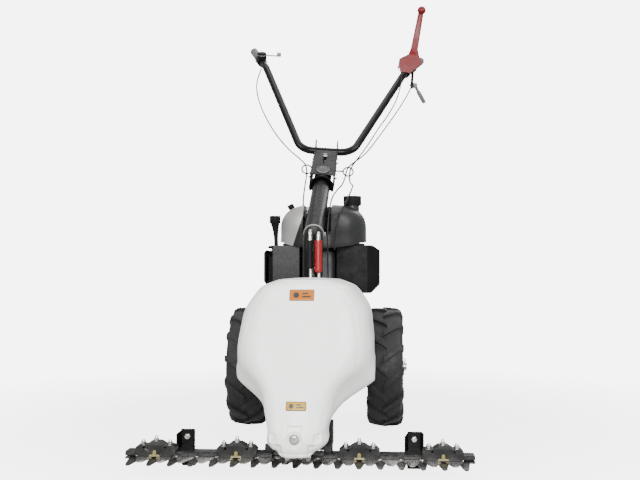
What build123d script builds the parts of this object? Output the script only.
from build123d import *
import os
import math

os.makedirs("parts", exist_ok=True)

# ---------------------------------------------------------------------------
# Walk-behind brush mower with a front sickle bar.  Millimetres, +Z up, the
# front of the machine is -Y, the ground is Z = 0.
# The origin is on the ground under the middle of the machine's length.
# ---------------------------------------------------------------------------

# driving dimensions
YA = -106.6            # wheel axle line, from the origin
AXLE_Z = 190.0         # wheel axle height
TRACK = 436.0          # tyre centre to tyre centre
TYRE_R = 190.0         # tyre radius over the tread bars
LUGS = 14              # tread bars on each side of a tyre
AXLE_R = 12.5

PITCH = 50.8           # finger and knife section pitch
FINGERS = 17
COMB_Z = 30.0          # underside of the finger comb
COMB_T = 5.0
KNIFE_T = 3.0
BAR_Z = COMB_Z + COMB_T + 3.8      # underside of the bar plate's front lip
BAR_T = 10.0
BAR_TOP = BAR_Z + BAR_T
BAR_W = 868.0

COL_R = 30.0           # column tube
COL_WALL = 4.0
COL_Y = YA - 200.0
HB_R = 14.0            # handlebar tube
HB_Y = YA + 440.0      # handlebar tilt axis
HB_Z = 945.0
GRIP_R = 16.5
ENG_Y = YA + 110.0     # engine's upright shaft line


def bow(points, closed=False):
    """Fillet radii for a cable route: 0.45 of the shorter run over tan of half the turn."""
    radii = []
    for a, b, c in zip(points, points[1:], points[2:]):
        u = Vector(*b) - Vector(*a)
        v = Vector(*c) - Vector(*b)
        turn = math.radians(u.get_angle(v))
        radii.append(0.45 * min(u.length, v.length) / math.tan(turn / 2))
    return radii


# ===========================================================================
# cutter bar
# ===========================================================================
with BuildPart() as cutter_bar_plate:
    # L-shaped bar: a lip over the knife back and a foot bolted on the comb
    with BuildSketch(Plane.YZ.offset(-BAR_W / 2)):
        with BuildLine():
            Polyline((YA - 672, BAR_Z), (YA - 645, BAR_Z), (YA - 645, COMB_Z + COMB_T),
                     (YA - 630, COMB_Z + COMB_T), (YA - 630, BAR_TOP), (YA - 668, BAR_TOP),
                     (YA - 672, BAR_TOP - 4), close=True)
        make_face()
    extrude(amount=BAR_W)
    with Locations(Plane.XY.offset(BAR_TOP)):
        with Locations((-254, YA - 656), (-203, YA - 656), (-101, YA - 656), (101, YA - 656),
                       (203, YA - 656), (254, YA - 656), (-420, YA - 650), (420, YA - 650)):
            Hole(4.2, depth=30)
    # gap for the knife head
    with BuildSketch(Plane.XY.offset(COMB_Z)):
        with Locations((0, YA - 662)):
            Rectangle(128, 29)
    extrude(amount=30, mode=Mode.SUBTRACT)

with BuildPart() as finger_comb:
    # base plate with a row of blunt guard fingers set against its front edge
    with BuildSketch(Plane.XY.offset(COMB_Z)):
        with Locations((0, YA - 651)):
            Rectangle(BAR_W, 42)
        with Locations(*[((i - 8) * PITCH, YA - 672) for i in range(FINGERS)]):
            Polygon((-14.8, -0.05), (-12.5, -20), (-5.5, -72), (-2.5, -78), (2.5, -78),
                    (5.5, -72), (12.5, -20), (14.8, -0.05), align=None)
    extrude(amount=COMB_T)
    # bevelled finger tips
    with BuildSketch(Plane.YZ.offset(-BAR_W / 2)):
        with BuildLine():
            Polyline((YA - 752, COMB_Z + COMB_T + 1), (YA - 752, COMB_Z + 2),
                     (YA - 728, COMB_Z + COMB_T + 1), close=True)
        make_face()
    extrude(amount=BAR_W, mode=Mode.SUBTRACT)

KZ = COMB_Z + COMB_T + 0.4
with BuildPart() as knife_bar:
    with BuildSketch(Plane.XY.offset(KZ)):
        with Locations((0, YA - 660)):
            Rectangle(812, 17)
    extrude(amount=KNIFE_T)

with BuildPart() as knife_sections:
    # triangular sections with bevelled edges, riveted side by side to the knife bar
    with BuildSketch(Plane.XY.offset(KZ)):
        with Locations(*[((i - 7.5) * PITCH, YA - 669) for i in range(16)]):
            Polygon((-25.1, 0), (-25.1, -6), (-5, -68), (5, -68), (25.1, -6),
                    (25.1, 0), align=None)
    extrude(amount=KNIFE_T)
    for i in range(16):
        cx = (i - 7.5) * PITCH
        for s in (-1, 1):
            # bevel along each slanting cutting edge
            mid = Vector(cx + s * 15.05, YA - 669 - 37, KZ + KNIFE_T)
            along = Vector(-s * 20.1, -62, 0).normalized()
            with BuildSketch(Plane(origin=mid - along * 36, x_dir=Vector(s * 62, -20.1, 0).normalized(),
                                   z_dir=along)):
                with BuildLine():
                    Polyline((-6.5, 0.6), (3, 0.6), (3, -3.2), (0.1, -2.2), close=True)
                make_face()
            extrude(amount=72, mode=Mode.SUBTRACT)

with BuildPart() as knife_head:
    # lug on top of the knife bar with a fork slot for the crank roller
    with BuildSketch(Plane.XY.offset(KZ + KNIFE_T)):
        with Locations((0, YA - 660)):
            Rectangle(64, 14)
    extrude(amount=20)
    with BuildSketch(Plane.XY.offset(KZ + KNIFE_T + 12)):
        with Locations((0, YA - 650)):
            Rectangle(60, 36)
    extrude(amount=8)
    with BuildSketch(Plane.XY.offset(KZ + KNIFE_T + 4)):
        with Locations((0, YA - 648)):
            SlotOverall(26, 15, rotation=90)
    extrude(amount=30, mode=Mode.SUBTRACT)

# hold-down castings
HD_X = (-356.0, -152.0, 152.0, 356.0)
with BuildPart() as hold_down_one:
    # front view outline, thickness runs back over the bar
    with BuildSketch(Plane.XZ.offset(0)):
        with BuildLine():
            Polyline((-40, 0), (-50, 9), (-50, 20), (-43, 27), (-24, 27), (-11, 36), (11, 36),
                     (24, 27), (43, 27), (50, 20), (50, 9), (40, 0), close=True)
        make_face()
    extrude(amount=-40)
    # the top slopes down towards the back, away from the raised centre
    with BuildSketch(Plane.YZ.offset(-60)):
        with BuildLine():
            Polyline((-5, 50), (-5, 20), (14, 50), close=True)
        make_face()
    extrude(amount=120, mode=Mode.SUBTRACT)
    with BuildSketch(Plane.YZ.offset(-60)):
        with BuildLine():
            Polyline((22, 50), (45, 50), (45, 26), close=True)
        make_face()
    extrude(amount=120, mode=Mode.SUBTRACT)
    # underside follows the step from bar top to knife
    with BuildSketch(Plane.YZ.offset(-60)):
        with BuildLine():
            Polyline((12, -1), (45, -1), (45, 11.6), (12, 11.6), close=True)
        make_face()
    extrude(amount=120, mode=Mode.SUBTRACT)
    # keyhole for the painted gauge tip
    with BuildSketch(Plane.XZ.offset(1)):
        with Locations((0, 12)):
            Circle(4.2)
        with Locations((0, 4)):
            Rectangle(8.4, 16)
    extrude(amount=-7, mode=Mode.SUBTRACT)
    # through holes and centre bore for the stud
    with Locations(Plane.XY.offset(60)):
        with Locations((0, 20), (-34, 24), (34, 24)):
            Hole(4.2, depth=80)
    with Locations(Plane.XZ.offset(2)):
        with Locations((-27, 22), (27, 22)):
            Hole(3.2, depth=60)

with BuildPart() as blade_hold_downs:
    with Locations(*[(x, YA - 684, KZ + KNIFE_T + 0.4) for x in HD_X]):
        add(hold_down_one.part)

with BuildPart() as hold_down_tips:
    # painted gauge tongues at the front middle of each hold-down
    with BuildSketch(Plane.XZ.offset(-(YA - 685.5))):
        with Locations(*[(x, KZ + KNIFE_T + 6.6) for x in HD_X]):
            Rectangle(8, 11.4)
        with Locations(*[(x, KZ + KNIFE_T + 12.4) for x in HD_X]):
            Circle(4.0)
    extrude(amount=-7.5)
    with BuildSketch(Plane.XZ.offset(-(YA - 685.8))):
        with Locations(*[(x, KZ + KNIFE_T + 3.2) for x in HD_X]):
            Trapezoid(28, 4.6, 60)
    extrude(amount=-1.8)

with BuildPart() as hold_down_fasteners:
    # centre studs with nuts, and a nut at each end of every hold-down
    with Locations(*[(x, YA - 664, BAR_TOP + 0.3) for x in HD_X]):
        Cylinder(4.0, 38, align=(Align.CENTER, Align.CENTER, Align.MIN))
    with BuildSketch(Plane.XY.offset(BAR_TOP + 26.3)):
        with Locations(*[(x, YA - 664) for x in HD_X]):
            RegularPolygon(6.5, 6)
    extrude(amount=6)
    with Locations(*[(x + d, YA - 660, BAR_TOP + 0.3) for x in HD_X for d in (-34, 34)]):
        Cylinder(4.0, 27, align=(Align.CENTER, Align.CENTER, Align.MIN))
    with BuildSketch(Plane.XY.offset(BAR_TOP + 17.3)):
        with Locations(*[(x + d, YA - 660) for x in HD_X for d in (-34, 34)]):
            RegularPolygon(6.5, 6)
    extrude(amount=6)

# ===========================================================================
# skids
# ===========================================================================
SKID_X = (-287.0, 287.0)
with BuildPart() as skid_bracket_one:
    # upright channel, open to the front, on a foot bolted to the bar
    with BuildSketch(Plane.XY.offset(BAR_TOP)):
        with BuildLine():
            Polyline((-24, YA - 643), (-21, YA - 643), (-14, YA - 623), (16, YA - 623),
                     (21, YA - 643.3), (24, YA - 643.3), (19.5, YA - 619), (-17, YA - 619), close=True)
        make_face()
    extrude(amount=48)
    with BuildSketch(Plane.XY.offset(BAR_TOP)):
        with Locations((0, YA - 631)):
            Rectangle(40, 22)
    extrude(amount=4)
    with BuildSketch(Plane.XZ.offset(-(YA - 670))):
        with Locations((-23, BAR_TOP + 47)):
            Rectangle(12, 12, rotation=35)
    extrude(amount=-60, mode=Mode.SUBTRACT)
    with BuildSketch(Plane.XZ.offset(-(YA - 650))):
        with Locations((1, BAR_TOP + 30)):
            Circle(4.2)
    extrude(amount=-40, mode=Mode.SUBTRACT)
with BuildPart() as skid_brackets:
    with Locations(*[(x, 0, 0) for x in SKID_X]):
        add(skid_bracket_one.part)

with BuildPart() as skid_shoes:
    # height strap behind the bar, turning back into a runner
    for x in SKID_X:
        with BuildSketch(Plane.YZ.offset(x - 16)):
            with BuildLine():
                FilletPolyline((YA - 616.2, BAR_TOP + 44), (YA - 616.2, 2.5), (YA - 535, 2.5),
                               (YA - 510, 12), radius=14)
            trace(line_width=5)
        extrude(amount=32)
    with BuildSketch(Plane.XZ.offset(-(YA - 650))):
        with Locations(*[(x + 1, BAR_TOP + 30) for x in SKID_X]):
            Circle(4.2)
    extrude(amount=-60, mode=Mode.SUBTRACT)

with BuildPart() as skid_bolts:
    # strap bolts, heads to the front and nuts behind
    for x in SKID_X:
        with BuildSketch(Plane.XZ.offset(-(YA - 640))):
            with Locations((x + 1, BAR_TOP + 30)):
                Circle(4.0)
        extrude(amount=-36)
        with BuildSketch(Plane.XZ.offset(-(YA - 623.2))):
            with Locations((x + 1, BAR_TOP + 30)):
                RegularPolygon(7, 6)
        extrude(amount=6)
        with BuildSketch(Plane.XZ.offset(-(YA - 613.6))):
            with Locations((x + 1, BAR_TOP + 30)):
                RegularPolygon(7, 6)
        extrude(amount=-6)

# ===========================================================================
# knife drive
# ===========================================================================
with BuildPart() as bar_carrier:
    # cast foot bolted on the bar, with a neck to the drive housing
    with BuildSketch(Plane.XY.offset(BAR_TOP)):
        with Locations((0, YA - 640)):
            RectangleRounded(170, 20, 4)
        with Locations((-66, YA - 610), (66, YA - 610)):
            Rectangle(30, 80)
    extrude(amount=16)
    with BuildSketch(Plane.XY.offset(BAR_TOP)):
        with Locations((0, YA - 552)):
            Rectangle(162, 50)
    extrude(amount=60)
    with BuildSketch(Plane.XY.offset(BAR_TOP - 1)):
        with Locations((0, YA - 640)):
            Rectangle(128, 24)
    extrude(amount=30, mode=Mode.SUBTRACT)
    with BuildSketch(Plane.XY.offset(89.5)):
        with Locations((0, YA - 552)):
            Rectangle(97, 60)
    extrude(amount=40, mode=Mode.SUBTRACT)

with BuildPart() as knife_drive_housing:
    # drum over the crank, and the tube that brings the drive forward
    with BuildSketch(Plane.XY.offset(82)):
        with Locations((0, YA - 650)):
            Circle(52)
    extrude(amount=50)
    with BuildSketch(Plane.XY.offset(78)):
        with Locations((0, YA - 650)):
            Circle(44)
    extrude(amount=46, mode=Mode.SUBTRACT)
    with BuildSketch(Plane.XZ.offset(-(YA - 602))):
        with Locations((0, 132)):
            RectangleRounded(96, 84, 14)
    extrude(amount=-70)
    with BuildSketch(Plane.XZ.offset(-(YA - 535))):
        with Locations((0, 190)):
            Circle(40)
    extrude(amount=-205)
    with BuildSketch(Plane.XZ.offset(-(YA - 545))):
        with Locations((0, 160)):
            Rectangle(60, 50)
    extrude(amount=-60)
    # front boss that takes the hood bolt
    with BuildSketch(Plane.XZ.offset(-(YA - 753.4))):
        with Locations((0, 100)):
            Circle(11)
    extrude(amount=-60)
    with BuildSketch(Plane.XZ.offset(-(YA - 753.4))):
        with Locations((0, 100)):
            Circle(4.0)
    extrude(amount=-40, mode=Mode.SUBTRACT)
    # vertical crank bore
    with Locations(Plane.XY.offset(140)):
        with Locations((0, YA - 650)):
            Hole(12.05, depth=80)
    # seat on the carrier
    with BuildSketch(Plane.XY.offset(BAR_TOP + 60)):
        with Locations((0, YA - 552)):
            Rectangle(134, 40)
    extrude(amount=14)
    with BuildSketch(Plane.XY.offset(70)):
        with Locations((0, YA - 552)):
            Rectangle(200, 60)
    extrude(amount=20, mode=Mode.SUBTRACT)

with BuildPart() as knife_crank:
    # crank shaft, disc and offset roller pin; the pin stops just above the knife fork
    with Locations((0, YA - 650, 84)):
        Cylinder(12.0, 46, align=(Align.CENTER, Align.CENTER, Align.MIN))
    with Locations((0, YA - 650, 74)):
        Cylinder(38, 14, align=(Align.CENTER, Align.CENTER, Align.MIN))
    with Locations((0, YA - 625, KZ + KNIFE_T + 21)):
        Cylinder(8.5, 74 - (KZ + KNIFE_T + 21) + 4, align=(Align.CENTER, Align.CENTER, Align.MIN))

# ===========================================================================
# gearbox, axle and wheels
# ===========================================================================
with BuildPart() as gearbox_housing:
    with BuildSketch(Plane.XY.offset(140)):
        with Locations((0, YA - 90)):
            RectangleRounded(150, 480, 22)
    extrude(amount=160)
    with BuildSketch(Plane.XY.offset(139)):
        with Locations((0, YA - 90)):
            RectangleRounded(132, 462, 14)
    extrude(amount=151, mode=Mode.SUBTRACT)
    with Locations(Plane.XY.offset(300)):
        with Locations((-3, YA - 243), (22, YA - 243)):
            Hole(4.6, depth=12)
    # axle tubes
    for s in (-1, 1):
        with BuildSketch(Plane.YZ.offset(s * 66)):
            with Locations((YA, AXLE_Z)):
                Circle(30)
        extrude(amount=s * 66)
        with BuildSketch(Plane.YZ.offset(s * 60)):
            with Locations((YA, AXLE_Z)):
                Circle(20)
        extrude(amount=s * 80, mode=Mode.SUBTRACT)
    # ribs on the flanks
    for y in (-300, -250, -200, -150, -100):
        for s in (-1, 1):
            with BuildSketch(Plane.XZ.offset(-(YA + y))):
                with BuildLine():
                    Polyline((s * 74, 150), (s * 84, 160), (s * 84, 280), (s * 74, 292), close=True)
                make_face()
            extrude(amount=-6)

with BuildPart() as gearbox_sump_cover:
    with BuildSketch(Plane.XY.offset(131.7)):
        with Locations((0, YA - 90)):
            RectangleRounded(158, 488, 24)
    extrude(amount=8)
    with BuildSketch(Plane.XY.offset(126)):
        with Locations(*[(s * 72, YA - 90 + d) for s in (-1, 1) for d in (-200, -70, 70, 200)]):
            RegularPolygon(6, 6)
    extrude(amount=5.7)

with BuildPart() as axle_bushings:
    for s in (-1, 1):
        with BuildSketch(Plane.YZ.offset(s * 92)):
            with Locations((YA, AXLE_Z)):
                Circle(20)
                Circle(AXLE_R + 0.05, mode=Mode.SUBTRACT)
        extrude(amount=s * 43)

with BuildPart() as axle_shaft:
    with BuildSketch(Plane.YZ.offset(-288)):
        with Locations((YA, AXLE_Z)):
            Circle(AXLE_R)
    extrude(amount=576)
    chamfer(axle_shaft.edges().filter_by(GeomType.CIRCLE), 1.5)
    with BuildSketch(Plane.XY.offset(AXLE_Z - 20)):
        with Locations((-278, YA), (278, YA)):
            Circle(3.0)
    extrude(amount=40, mode=Mode.SUBTRACT)

with BuildPart() as axle_lynch_pins:
    for s in (-1, 1):
        with Locations((s * 278, YA, AXLE_Z)):
            Cylinder(2.95, 36)
        with Locations((s * 278, YA, AXLE_Z + 20)):
            Torus(6, 1.6, rotation=(90, 0, 0))

with BuildPart() as hub_one:
    # local frame: axle along X, outer side of the wheel +X
    with BuildSketch(Plane.YZ.offset(-60)):
        Circle(22)
        Circle(AXLE_R, mode=Mode.SUBTRACT)
    extrude(amount=108)
    with BuildSketch(Plane.YZ.offset(4)):
        Circle(52)
        Circle(AXLE_R, mode=Mode.SUBTRACT)
    extrude(amount=8)

with BuildPart() as rim_one:
    with BuildSketch(Plane.XY):
        with BuildLine():
            Polyline((-46, 98), (-46, 113), (-43, 113), (-43, 101.6), (43, 101.6), (43, 113),
                     (46, 113), (46, 98), (30, 98), (24, 88), (16, 84), (16, 23), (12, 23),
                     (12, 88), (20, 98), close=True)
        make_face()
    revolve(axis=Axis.X)
    with BuildSketch(Plane.YZ.offset(8)):
        with PolarLocations(64, 6, start_angle=30):
            SlotOverall(30, 14, rotation=90)
    extrude(amount=12, mode=Mode.SUBTRACT)
    with BuildSketch(Plane.YZ.offset(8)):
        with PolarLocations(38, 4):
            Circle(5.2)
    extrude(amount=12, mode=Mode.SUBTRACT)

with BuildPart() as bolts_one:
    with BuildSketch(Plane.YZ.offset(12.0)):
        with PolarLocations(38, 4):
            Circle(5.0)
    extrude(amount=14)
    with BuildSketch(Plane.YZ.offset(16.0)):
        with PolarLocations(38, 4):
            RegularPolygon(9, 6)
    extrude(amount=7)

with BuildPart() as tread_band:
    with BuildSketch(Plane.XY):
        with BuildLine():
            Polyline((-57, 142), (-57.5, 166), (-52, 180), (-40, 186.5), (0, TYRE_R), (40, 186.5),
                     (52, 180), (57.5, 166), (57, 142), (52, 142), (50, 160), (44, 172),
                     (0, 178), (-44, 172), (-50, 160), (-52, 142), close=True)
        make_face()
    revolve(axis=Axis.X)

with BuildPart() as tyre_one:
    # chevron tread bars, half a pitch apart on the two sides
    for k in range(LUGS):
        for s in (-1, 1):
            a = math.radians(360 / LUGS * (k + (0.25 if s > 0 else -0.25)))
            out = Vector(0, math.sin(a), math.cos(a))
            with BuildSketch(Plane(origin=out * (TYRE_R + 4), x_dir=(1, 0, 0), z_dir=out)):
                with BuildLine():
                    Polyline((-6 * s, -32), (-6 * s, -15), (38 * s, 22), (60 * s, 30),
                             (60 * s, 13), (44 * s, 5), close=True)
                make_face()
            extrude(amount=-54)
    add(tread_band.part, mode=Mode.INTERSECT)
    with BuildSketch(Plane.XY):
        with BuildLine():
            Polyline((-42.7, 101.9), (-42.7, 114), (-52, 128), (-55, 145), (-53, 162), (-46, 174),
                     (-30, 179), (0, 180.5), (30, 179), (46, 174), (53, 162), (55, 145), (52, 128),
                     (42.7, 114), (42.7, 101.9), (32, 101.9), (34, 114), (44, 132), (47, 145),
                     (45, 158), (38, 166), (0, 171), (-38, 166), (-45, 158), (-47, 145),
                     (-44, 132), (-34, 114), (-32, 101.9), close=True)
        make_face()
    revolve(axis=Axis.X)

HALF = TRACK / 2
with BuildPart() as left_tyre:
    with Locations((-HALF, YA, AXLE_Z)):
        add(tyre_one.part)
with BuildPart() as right_tyre:
    with Locations((HALF, YA, AXLE_Z)):
        add(tyre_one.part)
with BuildPart() as left_rim:
    with Locations(Location((-HALF, YA, AXLE_Z), (0, 0, 180))):
        add(rim_one.part)
with BuildPart() as right_rim:
    with Locations((HALF, YA, AXLE_Z)):
        add(rim_one.part)
with BuildPart() as wheel_hubs:
    with Locations(Location((-HALF, YA, AXLE_Z), (0, 0, 180)), Location((HALF, YA, AXLE_Z))):
        add(hub_one.part)
with BuildPart() as wheel_bolts:
    with Locations(Location((-HALF, YA, AXLE_Z), (0, 0, 180)), Location((HALF, YA, AXLE_Z))):
        add(bolts_one.part)

# ===========================================================================
# front hood: thin moulded shell, open at the back and underneath
# ===========================================================================
HOOD_T = 3.5
# height: (half outline from the nose to the rear edge)
HOOD = {
    57: [(0, -757), (20, -755), (32, -745), (36, -725), (37, -700), (37, -680), (37, -650)],
    75: [(0, -768), (26, -764), (48, -748), (62, -722), (68, -700), (70, -680), (70, -645)],
    102: [(0, -772), (30, -767), (54, -750), (68, -722), (72, -695), (74, -665), (74, -620)],
    150: [(0, -751), (36, -744), (62, -725), (78, -695), (86, -650), (100, -560), (112, -430)],
    175: [(0, -740), (38, -733), (66, -714), (84, -680), (96, -620), (134, -520), (156, -330)],
    200: [(0, -727), (42, -720), (72, -700), (92, -662), (118, -590), (176, -470), (187, -240)],
    250: [(0, -694), (52, -687), (96, -664), (132, -620), (160, -560), (184, -470), (188, -240)],
    300: [(0, -658), (60, -651), (108, -632), (144, -596), (168, -545), (182, -470), (186, -240)],
    350: [(0, -618), (60, -612), (108, -595), (142, -565), (164, -520), (176, -450), (182, -240)],
    400: [(0, -583), (55, -577), (100, -562), (132, -535), (154, -490), (165, -430), (172, -240)],
    440: [(0, -556), (46, -551), (84, -538), (112, -515), (130, -475), (138, -420), (146, -240)],
    462: [(0, -536), (38, -532), (70, -520), (92, -500), (106, -460), (112, -410), (118, -240)],
    474: [(0, -505), (26, -502), (48, -494), (64, -478), (74, -445), (80, -400), (84, -240)],
}


def outline(half, inset, back):
    """Whole outline, rear left to nose to rear right, moved in by inset, run on by back."""
    pts = []
    for k, (x, y) in enumerate(half):
        a = half[max(k - 1, 0)]
        b = half[min(k + 1, len(half) - 1)]
        if k == 0:
            a = (-half[1][0], half[1][1])
        t = Vector(b[0] - a[0], b[1] - a[1]).normalized()
        pts.append((x - t.Y * inset, y + t.X * inset))
    pts[0] = (0, pts[0][1])
    pts.insert(-1, ((pts[-1][0] * 0.6 + pts[-2][0] * 0.4), (pts[-1][1] * 0.6 + pts[-2][1] * 0.4)))
    if back:
        pts[-1] = (pts[-1][0], pts[-1][1] + back)
    left = [(-x, YA + y) for x, y in reversed(pts[1:])]
    return left + [(x, YA + y) for x, y in pts]


with BuildPart() as hood_core:
    for z, half in HOOD.items():
        pts = outline(half, HOOD_T, 30)
        level = {57: 54, 474: 474 - HOOD_T}.get(z, z)
        with BuildSketch(Plane.XY.offset(level)):
            with BuildLine():
                Spline(*pts)
                Line(pts[-1], pts[0])
            make_face()
    loft()

with BuildPart() as front_hood:
    for z, half in HOOD.items():
        pts = outline(half, 0, 0)
        with BuildSketch(Plane.XY.offset(z)):
            with BuildLine():
                Spline(*pts)
                Line(pts[-1], pts[0])
            make_face()
    loft()
    add(hood_core.part, mode=Mode.SUBTRACT)
    # pocket with the hood bolt
    with BuildSketch(Plane.XZ.offset(-(YA - 766))):
        with Locations((0, 100)):
            Circle(21)
    extrude(amount=-12.3)
    with BuildSketch(Plane.XZ.offset(-(YA - 790))):
        with Locations((0, 100)):
            Circle(17)
    extrude(amount=-31, mode=Mode.SUBTRACT)
    with BuildSketch(Plane.XZ.offset(-(YA - 790))):
        with Locations((0, 100)):
            Circle(4.4)
    extrude(amount=-60, mode=Mode.SUBTRACT)
    # notch round the column and the control rods
    with BuildSketch(Plane.XY.offset(420)):
        with Locations((8, YA - 245)):
            RectangleRounded(100, 50, 12)
    extrude(amount=80, mode=Mode.SUBTRACT)

with BuildPart() as hood_bolt:
    with BuildSketch(Plane.XZ.offset(-(YA - 760.7))):
        with Locations((0, 100)):
            Circle(13)
    extrude(amount=-1.6)
    with BuildSketch(Plane.XZ.offset(-(YA - 766))):
        with Locations((0, 100)):
            RegularPolygon(7.5, 6)
    extrude(amount=-5.4)
    with BuildSketch(Plane.XZ.offset(-(YA - 762))):
        with Locations((0, 100)):
            Circle(3.95)
    extrude(amount=-45)

# ===========================================================================
# column
# ===========================================================================
with BuildPart() as column_base:
    with BuildSketch(Plane.XY.offset(300)):
        with Locations((0, COL_Y)):
            RectangleRounded(110, 104, 10)
            Circle(COL_R + 0.05, mode=Mode.SUBTRACT)
    extrude(amount=10)
    with BuildSketch(Plane.XY.offset(310)):
        with Locations((0, COL_Y)):
            Circle(COL_R + 6)
            Circle(COL_R + 0.05, mode=Mode.SUBTRACT)
    extrude(amount=34)
    with Locations(Plane.XY.offset(310)):
        with Locations(*[(sx * 43, COL_Y + sy * 40) for sx in (-1, 1) for sy in (-1, 1)]):
            Hole(5.2, depth=20)
        with Locations((-3, YA - 243), (22, YA - 243)):
            Hole(5.2, depth=20)

with BuildPart() as column_bolts:
    with BuildSketch(Plane.XY.offset(301)):
        with Locations(*[(sx * 43, COL_Y + sy * 40) for sx in (-1, 1) for sy in (-1, 1)]):
            Circle(5.0)
    extrude(amount=12)
    with BuildSketch(Plane.XY.offset(310)):
        with Locations(*[(sx * 43, COL_Y + sy * 40) for sx in (-1, 1) for sy in (-1, 1)]):
            RegularPolygon(9, 6)
    extrude(amount=6.5)

with BuildPart() as column_tube:
    with BuildLine() as column_path:
        FilletPolyline((0, COL_Y, 300.3), (0, COL_Y, 590), (0, YA + 425.6, 913), radius=60)
    with BuildSketch(Plane(origin=(0, COL_Y, 300.3), z_dir=(0, 0, 1))):
        Circle(COL_R)
        Circle(COL_R - COL_WALL, mode=Mode.SUBTRACT)
    sweep(path=column_path.line)

# sloping top of the column: u runs up along the tube, v square to it, over the tube
SLOPE = Vector(0, 425.6 + 200, 913 - 590).normalized()
O = Vector(0, YA + 190, 590 + 390 * (913 - 590) / (425.6 + 200))
COL_AXIS = Axis(O, SLOPE)
SWING = 4.2            # the handlebar head sits slightly turned round the column
SIDE = Plane(origin=O, x_dir=SLOPE, z_dir=Vector(1, 0, 0))       # sketch u, v of side plates


def on_slope(u, x=0.0, v=0.0):
    n = Vector(0, -SLOPE.Z, SLOPE.Y)
    return O + SLOPE * u + n * v + Vector(x, 0, 0)


with BuildPart() as column_clip:
    # cable tie just above the bend, with its square lock
    tie = Vector(0, COL_Y, 590) + SLOPE * 41
    with BuildSketch(Plane(origin=tie, x_dir=(1, 0, 0), z_dir=SLOPE)):
        Circle(COL_R + 2.0)
        with Locations((33, 0)):
            Rectangle(8, 9)
        Circle(COL_R + 0.1, mode=Mode.SUBTRACT)
    extrude(amount=7)

with BuildPart() as column_saddle:
    with BuildSketch(Plane(origin=on_slope(-14), x_dir=(1, 0, 0), z_dir=SLOPE)):
        Circle(44)
    with BuildSketch(Plane(origin=on_slope(6), x_dir=(1, 0, 0), z_dir=SLOPE)):
        Circle(36)
    loft()
    with BuildSketch(Plane(origin=on_slope(-16), x_dir=(1, 0, 0), z_dir=SLOPE)):
        Circle(39)
    with BuildSketch(Plane(origin=on_slope(2), x_dir=(1, 0, 0), z_dir=SLOPE)):
        Circle(31)
    loft(mode=Mode.SUBTRACT)
    with BuildSketch(Plane(origin=on_slope(0), x_dir=(1, 0, 0), z_dir=SLOPE)):
        Circle(36)
    extrude(amount=16)
    with BuildSketch(Plane(origin=on_slope(-20), x_dir=(1, 0, 0), z_dir=SLOPE)):
        Circle(COL_R + 0.1)
    extrude(amount=50, mode=Mode.SUBTRACT)
    with BuildSketch(Plane(origin=on_slope(-20), x_dir=(1, 0, 0), z_dir=SLOPE)):
        with Locations((0, 40)):
            Rectangle(120, 52)
    extrude(amount=50, mode=Mode.SUBTRACT)

with BuildPart() as handlebar_bracket:
    # channel over the column with two eared side plates
    for x0 in (-43, 38):
        with BuildSketch(Plane(origin=O + Vector(x0, 0, 0), x_dir=SLOPE, z_dir=(1, 0, 0))):
            with BuildLine():
                Polyline((16.5, -14), (16.5, 37), (262, 37), (284, 48), (304, 62), (314, 60),
                         (318, 30), (314, 8), (296, -4), (240, -24), (60, -24), close=True)
            make_face()
            with Locations(((HB_Y - O.Y) * SLOPE.Y + (HB_Z - O.Z) * SLOPE.Z,
                            -(HB_Y - O.Y) * SLOPE.Z + (HB_Z - O.Z) * SLOPE.Y)):
                Circle(HB_R + 0.05, mode=Mode.SUBTRACT)
        extrude(amount=5)
    with BuildSketch(Plane(origin=on_slope(16.5, -40, 33), x_dir=(1, 0, 0),
                           z_dir=Vector(0, -SLOPE.Z, SLOPE.Y))):
        with Locations((40, 119)):
            Rectangle(80, 238)
        with Locations((40, 150)):
            SlotOverall(88, 8.6, rotation=90, mode=Mode.SUBTRACT)
    extrude(amount=4)

with BuildPart() as bracket_bolts:
    # slot clamp bolt on top, and cross bolts through the side plates
    with BuildSketch(Plane(origin=on_slope(203, 0, 37.0), x_dir=(1, 0, 0),
                           z_dir=Vector(0, -SLOPE.Z, SLOPE.Y))):
        Circle(10)
    extrude(amount=2)
    with BuildSketch(Plane(origin=on_slope(203, 0, 39.0), x_dir=(1, 0, 0),
                           z_dir=Vector(0, -SLOPE.Z, SLOPE.Y))):
        RegularPolygon(8, 6)
    extrude(amount=5.5)
    for u in (80, 232):
        for x0, d in ((43, 1), (-43, -1)):
            with BuildSketch(Plane(origin=on_slope(u, x0, 6), x_dir=SLOPE, z_dir=(1, 0, 0))):
                RegularPolygon(9, 6)
            extrude(amount=7 * d)

RINGS = ((-1, 62.0), (1, 88.0))
RING_R = 18.0
with BuildPart() as cable_guide_rings:
    # wire loops that carry the cables past the column, each on a short stem
    for s, xc in RINGS:
        centre = on_slope(146, s * xc, 2)
        with BuildSketch(Plane(origin=centre + Vector(RING_R, 0, 0), x_dir=(1, 0, 0), z_dir=(0, 0.6, -0.8))):
            Circle(2.6)
        revolve(axis=Axis(centre, Vector(0, -0.8, -0.6)))
        with BuildSketch(Plane(origin=centre - Vector(s * (RING_R - 1), 0, 0), x_dir=(0, 1, 0),
                               z_dir=Vector(-s, 0, 0))):
            Circle(2.6)
        extrude(amount=xc - RING_R - 43 + 1.0)

# ===========================================================================
# handlebar and its controls (drawn square to the machine)
# ===========================================================================
A = Vector(282, YA + 740, 1315)        # top of the upright arm
G = Vector(365, YA + 960, 1432)        # end of the grip
def grip_dir(s):
    return Vector(s * (G.X - A.X), G.Y - A.Y, G.Z - A.Z).normalized()


def on_grip(s, d):
    """Point on the grip's centre line, d millimetres past the top of the arm."""
    return Vector(s * A.X, A.Y, A.Z) + grip_dir(s) * d


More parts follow.
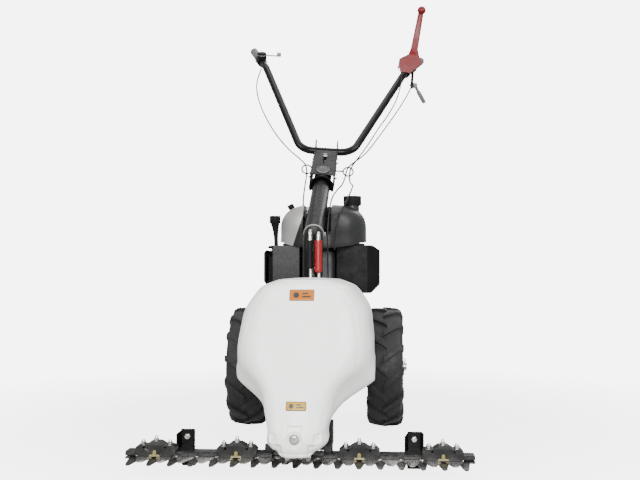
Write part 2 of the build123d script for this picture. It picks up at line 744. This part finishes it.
GRIP_LEN = (G - A).length
with BuildPart() as handlebar_tube:
    with BuildLine() as bar_path:
        FilletPolyline(on_grip(-1, GRIP_LEN - 0.5), on_grip(-1, 0), (-97, HB_Y, HB_Z),
                       (97, HB_Y, HB_Z), on_grip(1, 0), on_grip(1, GRIP_LEN - 0.5),
                       radius=[60, 70, 70, 60])
    with BuildSketch(Plane(origin=bar_path.line @ 0, z_dir=bar_path.line % 0)):
        Circle(HB_R)
        Circle(HB_R - 2.5, mode=Mode.SUBTRACT)
    sweep(path=bar_path.line)


with BuildPart() as left_grip:
    with BuildSketch(Plane(origin=on_grip(-1, GRIP_LEN - 128), z_dir=grip_dir(-1))):
        Circle(GRIP_R)
    extrude(amount=132)
    with BuildSketch(Plane(origin=on_grip(-1, GRIP_LEN - 128), z_dir=grip_dir(-1))):
        Circle(HB_R)
    extrude(amount=128.2, mode=Mode.SUBTRACT)
    with BuildSketch(Plane(origin=on_grip(-1, GRIP_LEN - 128), z_dir=grip_dir(-1))):
        Circle(GRIP_R + 4)
        Circle(HB_R, mode=Mode.SUBTRACT)
    extrude(amount=4)

with BuildPart() as right_grip:
    with BuildSketch(Plane(origin=on_grip(1, GRIP_LEN - 128), z_dir=grip_dir(1))):
        Circle(GRIP_R)
    extrude(amount=132)
    with BuildSketch(Plane(origin=on_grip(1, GRIP_LEN - 128), z_dir=grip_dir(1))):
        Circle(HB_R)
    extrude(amount=128.2, mode=Mode.SUBTRACT)
    with BuildSketch(Plane(origin=on_grip(1, GRIP_LEN - 128), z_dir=grip_dir(1))):
        Circle(GRIP_R + 4)
        Circle(HB_R, mode=Mode.SUBTRACT)
    extrude(amount=4)

# --- throttle, viewer's left --------------------------------------------------
TH = on_grip(-1, 92)
TH_UP = Vector(0, -grip_dir(-1).Z, grip_dir(-1).Y).normalized()
with BuildPart() as throttle_clamp:
    with BuildSketch(Plane(origin=TH - grip_dir(-1) * 12, z_dir=grip_dir(-1), x_dir=(1, 0, 0))):
        Circle(HB_R + 6)
        with Locations((0, -20)):
            Rectangle(34, 16)
        Circle(HB_R, mode=Mode.SUBTRACT)
    extrude(amount=24)
    with BuildSketch(Plane(origin=TH + TH_UP * 16, z_dir=TH_UP, x_dir=(1, 0, 0))):
        Circle(4.0)
    extrude(amount=16, mode=Mode.SUBTRACT)
TH_TOP = TH + TH_UP * 28
with BuildPart() as throttle_lever:
    # flat lever turning on the clamp's top face
    with BuildSketch(Plane(origin=TH_TOP + TH_UP * 0.4, z_dir=TH_UP, x_dir=(1, 0, 0))):
        Circle(17)
        with Locations((36, 0)):
            Rectangle(64, 14)
        with Locations((72, 0)):
            Circle(9)
        Circle(4.05, mode=Mode.SUBTRACT)
    extrude(amount=3)
    with BuildSketch(Plane(origin=TH_TOP + TH_UP * 3.4, z_dir=TH_UP, x_dir=(1, 0, 0))):
        with Locations((72, 0)):
            Circle(9)
    extrude(amount=12)
with BuildPart() as throttle_cap:
    with BuildSketch(Plane(origin=TH_TOP + TH_UP * 3.8, z_dir=TH_UP, x_dir=(1, 0, 0))):
        Circle(19)
    extrude(amount=9)
    fillet(throttle_cap.edges().filter_by(GeomType.CIRCLE).sort_by(Axis(TH_TOP, TH_UP))[-1], 6)
    with BuildSketch(Plane(origin=TH_TOP - TH_UP * 6, z_dir=TH_UP, x_dir=(1, 0, 0))):
        Circle(4)
    extrude(amount=12)

# --- dead-man lever, viewer's right -----------------------------------------------
DM_Y, DM_Z = YA + 757, 1354            # pivot of the red lever, axis along X
with BuildPart() as deadman_bracket:
    # clamp ring on the tube with an upright lug for the pivot
    with BuildSketch(Plane(origin=on_grip(1, 30), z_dir=grip_dir(1), x_dir=(1, 0, 0))):
        Circle(HB_R + 5)
        with Locations((0, -28)):
            Rectangle(18, 32)
        Circle(HB_R, mode=Mode.SUBTRACT)
    extrude(amount=20)
    with BuildSketch(Plane.YZ.offset(270)):
        with Locations((DM_Y, DM_Z)):
            Circle(4.3)
    extrude(amount=50, mode=Mode.SUBTRACT)

with BuildPart() as deadman_lever:
    # pressed red plate, two cheeks astride the bracket, long upright arm, ball end
    with BuildSketch(Plane.XZ.offset(-(YA + 712))):
        Polygon((268, 1326), (262, 1378), (298, 1398), (306, 1420), (329, 1580), (351, 1580),
                (336, 1420), (342, 1396), (354, 1364), (324, 1334), (312, 1322), align=None)
    extrude(amount=-6)
    for x0 in (262, 322):
        with BuildSketch(Plane.YZ.offset(x0)):
            with BuildLine():
                Polyline((YA + 716, 1340), (YA + 716, 1372), (DM_Y + 4, DM_Z + 12),
                         (DM_Y + 12, DM_Z), (DM_Y + 4, DM_Z - 12), close=True)
            make_face()
            with Locations((DM_Y, DM_Z)):
                Circle(4.05, mode=Mode.SUBTRACT)
        extrude(amount=3)
    with Locations((341, YA + 715, 1582)):
        Sphere(17)

with BuildPart() as deadman_pin:
    with BuildSketch(Plane.YZ.offset(258)):
        with Locations((DM_Y, DM_Z)):
            Circle(4.0)
    extrude(amount=72)
    with BuildSketch(Plane.YZ.offset(330)):
        with Locations((DM_Y, DM_Z)):
            RegularPolygon(7, 6)
    extrude(amount=5)

# --- clutch lever, viewer's right, below the grip --------------------------------
CL_Y, CL_Z = YA + 848, 1300            # pivot of the clutch lever, axis along X
with BuildPart() as clutch_perch:
    with BuildSketch(Plane(origin=on_grip(1, 104), z_dir=grip_dir(1), x_dir=(1, 0, 0))):
        Circle(HB_R + 5)
        Circle(HB_R, mode=Mode.SUBTRACT)
    extrude(amount=22)
    with BuildSketch(Plane.YZ.offset(322)):
        with BuildLine():
            Polyline((YA + 826, 1352), (YA + 846, 1356), (CL_Y + 12, CL_Z), (CL_Y + 4, CL_Z - 14),
                     (CL_Y - 16, CL_Z - 12), (YA + 824, 1330), close=True)
        make_face()
        with Locations((CL_Y, CL_Z)):
            Circle(4.0, mode=Mode.SUBTRACT)
    extrude(amount=10)
    with BuildSketch(Plane(origin=on_grip(1, 85), z_dir=grip_dir(1), x_dir=(1, 0, 0))):
        Circle(HB_R)
    extrude(amount=70, mode=Mode.SUBTRACT)
    # cable barrel
    with BuildSketch(Plane.XZ.offset(-(YA + 812))):
        with Locations((327, 1296)):
            Circle(6)
    extrude(amount=-22)

with BuildPart() as clutch_pin:
    with BuildSketch(Plane.YZ.offset(318)):
        with Locations((CL_Y, CL_Z)):
            Circle(4.0)
    extrude(amount=34)
    with BuildSketch(Plane.YZ.offset(348.5)):
        with Locations((CL_Y, CL_Z)):
            Circle(7)
    extrude(amount=3)

CL_DIR = Vector(50, 105, -48).normalized()
with BuildPart() as clutch_lever:
    with BuildSketch(Plane.YZ.offset(332.4)):
        with Locations((CL_Y, CL_Z)):
            Circle(11)
    extrude(amount=15.6)
    with BuildSketch(Plane(origin=Vector(340.5, CL_Y, CL_Z) + CL_DIR * 9, z_dir=CL_DIR,
                           x_dir=(1, 0, 0))):
        RectangleRounded(11, 8, 2)
    extrude(amount=44)
    with BuildSketch(Plane(origin=Vector(340.5, CL_Y, CL_Z) + CL_DIR * 49, z_dir=CL_DIR,
                           x_dir=(1, 0, 0))):
        RectangleRounded(17, 13, 5)
    extrude(amount=76)
    with BuildSketch(Plane.YZ.offset(325)):
        with Locations((CL_Y, CL_Z)):
            Circle(4.05)
    extrude(amount=30, mode=Mode.SUBTRACT)
    with BuildSketch(Plane.YZ.offset(348.2)):
        with Locations((CL_Y, CL_Z)):
            Circle(7.6)
    extrude(amount=8, mode=Mode.SUBTRACT)

# --- cables --------------------------------------------------------------------
def swung(x, y, z):
    """A point of the handlebar head, given square to the machine, after the head's turn."""
    p = Vector(x, YA + y, z)
    return tuple(Vertex(p.X, p.Y, p.Z).rotate(COL_AXIS, SWING).center())


CABLE_R = 2.6
THROTTLE = [swung(-312, 826, 1330), swung(-319, 800, 1294), swung(-320, 748, 1244),
            swung(-300, 672, 1172), swung(-258, 580, 1090), swung(-200, 478, 1004),
            swung(-140, 400, 938), swung(-98, 364, 906), swung(-66, 336, 878),
            swung(-60, 300, 842), swung(-60, 250, 806), (-62, YA + 204, 772),
            (-62, YA + 166, 742), (-60, YA + 152, 716.5)]
CLUTCH = [swung(327, 808, 1294), swung(318, 770, 1266), swung(292, 700, 1204),
          swung(250, 610, 1120), swung(200, 510, 1030), swung(150, 410, 942),
          swung(106, 362, 900), swung(84, 336, 877), swung(80, 302, 843),
          swung(72, 248, 806), (58, YA + 184, 780), (42, YA + 110, 748),
          (38.5, YA + 40, 712), (38.5, YA - 40, 668), (39, YA - 108, 622),
          (42, YA - 158, 564), (46, YA - 190, 494), (50, YA - 196, 424)]
DEADMAN = [swung(276, 708, 1322), swung(277, 676, 1282), swung(262, 655, 1200),
           swung(228, 580, 1120), swung(190, 500, 1052), swung(156, 420, 978),
           swung(122, 372, 920), swung(96, 336, 877), swung(93, 302, 843),
           swung(98, 252, 812), (108, YA + 196, 796), (110, YA + 124, 778),
           (97, YA + 54, 738), (84, YA + 0, 704), (70, YA - 42, 664), (62, YA - 72, 616),
           (60, YA - 90, 562)]
for name, route in (("throttle_cable", THROTTLE), ("clutch_cable", CLUTCH),
                    ("deadman_cable", DEADMAN)):
    print(name, [round(r) for r in bow(route)])

with BuildPart() as throttle_cable:
    with BuildLine() as throttle_path:
        FilletPolyline(*THROTTLE, radius=bow(THROTTLE))
    with BuildSketch(Plane(origin=throttle_path.line @ 0, z_dir=throttle_path.line % 0)):
        Circle(CABLE_R)
    sweep(path=throttle_path.line)
with BuildPart() as clutch_cable:
    with BuildLine() as clutch_path:
        FilletPolyline(*CLUTCH, radius=bow(CLUTCH))
    with BuildSketch(Plane(origin=clutch_path.line @ 0, z_dir=clutch_path.line % 0)):
        Circle(CABLE_R)
    sweep(path=clutch_path.line)
with BuildPart() as deadman_cable:
    with BuildLine() as deadman_path:
        FilletPolyline(*DEADMAN, radius=bow(DEADMAN))
    with BuildSketch(Plane(origin=deadman_path.line @ 0, z_dir=deadman_path.line % 0)):
        Circle(CABLE_R)
    sweep(path=deadman_path.line)

# --- pull levers in front of the column -------------------------------------------
ROD_Y = YA - 243.0
RODS = {"drive": (-3.0, 9.0), "knife": (22.0, 11.0)}     # x, sleeve radius
with BuildPart() as drive_lever_rod:
    with BuildLine() as drive_path:
        FilletPolyline((-3, ROD_Y, 285), (-3, ROD_Y, 616), (-3, ROD_Y - 25, 616),
                       (-3, ROD_Y - 25, 520), radius=11)
    with BuildSketch(Plane.XY.offset(285)):
        with Locations((-3, ROD_Y)):
            Circle(4.5)
    sweep(path=drive_path.line)
with BuildPart() as drive_lever_sleeve:
    with BuildSketch(Plane.XY.offset(504)):
        with Locations((-3, ROD_Y - 25)):
            Circle(9)
    extrude(amount=84)
    with BuildSketch(Plane.XY.offset(520)):
        with Locations((-3, ROD_Y - 25)):
            Circle(4.5)
    extrude(amount=90, mode=Mode.SUBTRACT)
    fillet(drive_lever_sleeve.edges().group_by(Axis.Z)[0], 5)
with BuildPart() as knife_lever_rod:
    with BuildLine() as knife_path:
        FilletPolyline((22, ROD_Y, 285), (22, ROD_Y, 610), (22, ROD_Y - 25, 610),
                       (22, ROD_Y - 25, 512), radius=11)
    with BuildSketch(Plane.XY.offset(285)):
        with Locations((22, ROD_Y)):
            Circle(4.5)
    sweep(path=knife_path.line)
with BuildPart() as knife_lever_sleeve:
    with BuildSketch(Plane.XY.offset(492)):
        with Locations((22, ROD_Y - 25)):
            Circle(11)
    extrude(amount=96)
    with BuildSketch(Plane.XY.offset(512)):
        with Locations((22, ROD_Y - 25)):
            Circle(4.5)
    extrude(amount=90, mode=Mode.SUBTRACT)
    fillet(knife_lever_sleeve.edges().group_by(Axis.Z)[0], 8)

# ===========================================================================
# engine
# ===========================================================================
with BuildPart() as bell_housing:
    with BuildSketch(Plane.XY.offset(300)):
        with Locations((0, ENG_Y)):
            Circle(76)
            Circle(66, mode=Mode.SUBTRACT)
    extrude(amount=92)
    with BuildSketch(Plane.XY.offset(380)):
        with Locations((0, ENG_Y)):
            Circle(88)
            Circle(20, mode=Mode.SUBTRACT)
    extrude(amount=12)

with BuildPart() as crankshaft:
    with BuildSketch(Plane.XY.offset(312)):
        with Locations((0, ENG_Y)):
            Circle(12.5)
    extrude(amount=300)
with BuildPart() as clutch_drum:
    with BuildSketch(Plane.XY.offset(318)):
        with Locations((0, ENG_Y)):
            Circle(60)
            Circle(12.5, mode=Mode.SUBTRACT)
    extrude(amount=46)
    with BuildSketch(Plane.XY.offset(318)):
        with Locations((0, ENG_Y)):
            Circle(52)
            Circle(24, mode=Mode.SUBTRACT)
    extrude(amount=38, mode=Mode.SUBTRACT)
with BuildPart() as flywheel_fan:
    with BuildSketch(Plane.XY.offset(592)):
        with Locations((0, ENG_Y)):
            Circle(88)
            Circle(12.5, mode=Mode.SUBTRACT)
    extrude(amount=12)
    with BuildSketch(Plane.XY.offset(603)):
        with Locations((0, ENG_Y)):
            with PolarLocations(68, 14):
                Rectangle(34, 3.5)
    extrude(amount=19)

with BuildPart() as engine_block:
    with BuildSketch(Plane.XY.offset(392)):
        with Locations((0, ENG_Y)):
            RectangleRounded(190, 180, 24)
    extrude(amount=14)
    with BuildSketch(Plane.XY.offset(404)):
        with Locations((0, ENG_Y)):
            RectangleRounded(112, 150, 20)
    extrude(amount=156)
    # finned cylinder to the rear
    for k in range(8):
        with BuildSketch(Plane.XZ.offset(-(ENG_Y + 84 + 14 * k))):
            with Locations((0, 498)):
                RectangleRounded(124, 118, 14)
        extrude(amount=-5)
    with BuildSketch(Plane.XZ.offset(-(ENG_Y + 70))):
        with Locations((0, 498)):
            Circle(44)
    extrude(amount=-116)
    with Locations(Plane.XY.offset(560)):
        with Locations((0, ENG_Y)):
            Hole(12.56, depth=200)
    with Locations(Plane.XY.offset(560)):
        with Locations((0, ENG_Y)):
            Hole(40, depth=30)
    with BuildSketch(Plane.XY.offset(420)):
        with Locations((0, ENG_Y)):
            Circle(46)
    extrude(amount=100, mode=Mode.SUBTRACT)
    # deck under the cowl on its collar
    with BuildSketch(Plane.XY.offset(556)):
        with Locations((0, ENG_Y)):
            Circle(60)
            Circle(44, mode=Mode.SUBTRACT)
    extrude(amount=30)
    with BuildSketch(Plane.XY.offset(583)):
        with Locations((12, YA + 122)):
            Ellipse(139, 160)
        with Locations((0, ENG_Y)):
            Circle(44, mode=Mode.SUBTRACT)
    extrude(amount=5)

with BuildPart() as spark_plug_cap:
    with BuildSketch(Plane.XZ.offset(-(ENG_Y + 187.3))):
        with Locations((0, 498)):
            Circle(11)
    extrude(amount=-16)
    with BuildSketch(Plane.XZ.offset(-(ENG_Y + 202))):
        with Locations((0, 506)):
            RectangleRounded(20, 36, 6)
    extrude(amount=-20)

COWL_X, COWL_Y = 12.0, YA + 122.0
COWL = ((564, 143, 166), (600, 145, 168), (640, 144.5, 167), (668, 140, 161), (690, 127, 147),
        (705, 108, 126), (714, 84, 98))
with BuildPart() as cowl_core:
    for z, a, b in COWL:
        level = {564: 558, 714: 711}.get(z, z)
        with BuildSketch(Plane.XY.offset(level)):
            with Locations((COWL_X, COWL_Y)):
                Ellipse(a - 3, b - 3)
    loft()
    with BuildSketch(Plane.YZ.offset(-49)):
        with BuildLine():
            Polyline((YA - 80, 590), (YA - 80, 780), (YA + 126, 780), (YA + 126, 700), close=True)
        make_face()
    extrude(amount=98, mode=Mode.SUBTRACT)
with BuildPart() as engine_cowl:
    for z, a, b in COWL:
        with BuildSketch(Plane.XY.offset(z)):
            with Locations((COWL_X, COWL_Y)):
                Ellipse(a, b)
    loft()
    # valley under the column
    with BuildSketch(Plane.YZ.offset(-46)):
        with BuildLine():
            Polyline((YA - 80, 593.5), (YA - 80, 780), (YA + 122, 780), (YA + 122, 702), close=True)
        make_face()
    extrude(amount=92, mode=Mode.SUBTRACT)
    # lower edge dips at the front
    with BuildSketch(Plane.YZ.offset(-200)):
        with BuildLine():
            Polyline((YA - 80, 500), (YA - 80, 562), (YA + 60, 594), (YA + 320, 594),
                     (YA + 320, 500), close=True)
        make_face()
    extrude(amount=400, mode=Mode.SUBTRACT)
    add(cowl_core.part, mode=Mode.SUBTRACT)
    # filler neck for the tank
    with BuildSketch(Plane.XY.offset(672)):
        with Locations((110, YA + 110)):
            Circle(23)
    extrude(amount=58)

with BuildPart() as cooling_grille:
    with BuildSketch(Plane(origin=(0, YA + 36, 658.4), x_dir=(1, 0, 0),
                           z_dir=Vector(0, -108.5, 202).normalized())):
        Rectangle(88, 120)
        with GridLocations(0, 12, 1, 9):
            SlotOverall(76, 6, mode=Mode.SUBTRACT)
    extrude(amount=3)

with BuildPart() as fuel_cap:
    with BuildSketch(Plane.XY.offset(717)):
        with Locations((110, YA + 110)):
            Circle(30)
            with PolarLocations(31, 24):
                Circle(2, mode=Mode.SUBTRACT)
    extrude(amount=31)
    with BuildSketch(Plane.XY.offset(716)):
        with Locations((110, YA + 110)):
            Circle(23.4)
    extrude(amount=14.6, mode=Mode.SUBTRACT)

with BuildPart() as recoil_handle:
    RH = Vector(-95, YA + 112, 708)
    with BuildSketch(Plane(origin=RH, x_dir=(0, 1, 0), z_dir=Vector(-0.5, 0, 0.866))):
        SlotOverall(52, 20)
    extrude(amount=12)

with BuildPart() as oil_filler_tube:
    with BuildSketch(Plane.XY.offset(580.6)):
        with Locations((-142, YA + 56)):
            Circle(7)
    with BuildSketch(Plane.XY.offset(612)):
        with Locations((-143, YA + 56)):
            Circle(7.5)
    with BuildSketch(Plane.XY.offset(655)):
        with Locations((-146, YA + 56)):
            Circle(15)
    loft()
with BuildPart() as oil_cap:
    with BuildSketch(Plane.XY.offset(655.4)):
        with Locations((-146, YA + 56)):
            Circle(18)
            with PolarLocations(18.5, 16):
                Circle(1.6, mode=Mode.SUBTRACT)
    extrude(amount=24)

with BuildPart() as air_filter_box:
    with BuildSketch(Plane.XY.offset(424)):
        with BuildLine():
            Polyline((60, YA + 20), (162, YA + 20), (202, YA + 70), (202, YA + 190),
                     (60, YA + 190), close=True)
        make_face()
    extrude(amount=157)
    with BuildSketch(Plane.XZ.offset(-(YA + 10))):
        Polygon((150, 600), (210, 600), (210, 560), align=None)
        Polygon((60, 600), (60, 578), (110, 600), align=None)
        Polygon((170, 420), (210, 460), (210, 420), align=None)
        Polygon((60, 420), (60, 452), (95, 420), align=None)
    extrude(amount=-190, mode=Mode.SUBTRACT)
with BuildPart() as muffler_guard:
    with BuildSketch(Plane.XY.offset(428)):
        with BuildLine():
            Polyline((-60, YA + 20), (-150, YA + 20), (-184, YA + 60), (-184, YA + 190),
                     (-60, YA + 190), close=True)
        make_face()
    extrude(amount=152)
    with BuildSketch(Plane.XZ.offset(-(YA + 10))):
        Polygon((-190, 550), (-190, 618), (-130, 618), align=None)
        Polygon((-190, 470), (-190, 420), (-150, 420), align=None)
    extrude(amount=-190, mode=Mode.SUBTRACT)
    with BuildSketch(Plane.XY.offset(424)):
        with Locations((-120, YA + 105)):
            Rectangle(110, 160)
    extrude(amount=148, mode=Mode.SUBTRACT)
with BuildPart() as muffler:
    with BuildSketch(Plane.XY.offset(440)):
        with Locations((-120, YA + 105)):
            RectangleRounded(96, 140, 20)
    extrude(amount=104)
    with BuildSketch(Plane.XY.offset(443)):
        with Locations((-120, YA + 105)):
            RectangleRounded(90, 134, 17)
    extrude(amount=98, mode=Mode.SUBTRACT)
    # outlet to the rear
    with BuildSketch(Plane.XZ.offset(-(YA + 165))):
        with Locations((-120, 480)):
            Circle(14)
    extrude(amount=-20, mode=Mode.SUBTRACT)

# ===========================================================================
# groups: fasteners and pairs that share a node
# ===========================================================================
with BuildPart() as wheel_fasteners:
    add(wheel_bolts.part)
    add(axle_lynch_pins.part)
with BuildPart() as wheel_rims:
    add(left_rim.part)
    add(right_rim.part)
with BuildPart() as frame_bolts:
    add(hood_bolt.part)
    add(column_bolts.part)
    add(skid_bolts.part)
    add(bracket_bolts.part.rotate(COL_AXIS, SWING))
with BuildPart() as handle_grips:
    add(left_grip.part)
    add(right_grip.part)
with BuildPart() as lever_pins:
    add(deadman_pin.part)
    add(clutch_pin.part)
with BuildPart() as throttle_housing:
    add(throttle_clamp.part)
    add(throttle_cap.part)
with BuildPart() as bracket_with_saddle:
    add(handlebar_bracket.part)
    add(column_saddle.part)

pieces = {
    "cutter_bar_plate": cutter_bar_plate, "finger_comb": finger_comb, "knife_bar": knife_bar,
    "knife_sections": knife_sections, "knife_head": knife_head,
    "blade_hold_downs": blade_hold_downs, "hold_down_tips": hold_down_tips,
    "hold_down_fasteners": hold_down_fasteners, "skid_brackets": skid_brackets,
    "skid_shoes": skid_shoes, "frame_bolts": frame_bolts, "bar_carrier": bar_carrier,
    "knife_drive_housing": knife_drive_housing, "knife_crank": knife_crank,
    "gearbox_housing": gearbox_housing, "gearbox_sump_cover": gearbox_sump_cover,
    "axle_bushings": axle_bushings, "axle_shaft": axle_shaft, "left_tyre": left_tyre,
    "right_tyre": right_tyre, "wheel_rims": wheel_rims, "wheel_hubs": wheel_hubs,
    "wheel_fasteners": wheel_fasteners, "front_hood": front_hood, "column_base": column_base,
    "column_tube": column_tube, "column_clip": column_clip,
    "drive_lever_rod": drive_lever_rod, "drive_lever_sleeve": drive_lever_sleeve,
    "knife_lever_rod": knife_lever_rod, "knife_lever_sleeve": knife_lever_sleeve,
    "bell_housing": bell_housing, "crankshaft": crankshaft, "clutch_drum": clutch_drum,
    "flywheel_fan": flywheel_fan, "engine_block": engine_block,
    "spark_plug_cap": spark_plug_cap, "engine_cowl": engine_cowl,
    "cooling_grille": cooling_grille, "fuel_cap": fuel_cap, "recoil_handle": recoil_handle,
    "oil_filler_tube": oil_filler_tube, "oil_cap": oil_cap, "air_filter_box": air_filter_box,
    "muffler_guard": muffler_guard, "muffler": muffler, "throttle_cable": throttle_cable,
    "clutch_cable": clutch_cable, "deadman_cable": deadman_cable,
}
for label, piece in pieces.items():
    piece.part.label = label
    export_step(piece.part, f"parts/{label}.step")

# everything on the head turns with it round the column
head = {
    "handlebar_bracket": bracket_with_saddle, "cable_guide_rings": cable_guide_rings,
    "handlebar_tube": handlebar_tube, "handle_grips": handle_grips,
    "throttle_housing": throttle_housing, "throttle_lever": throttle_lever,
    "deadman_bracket": deadman_bracket, "deadman_lever": deadman_lever,
    "clutch_perch": clutch_perch, "clutch_lever": clutch_lever, "lever_pins": lever_pins,
}
for label, piece in head.items():
    turned = piece.part.rotate(COL_AXIS, SWING)
    turned.label = label
    export_step(turned, f"parts/{label}.step")
print("nodes", len(pieces) + len(head))
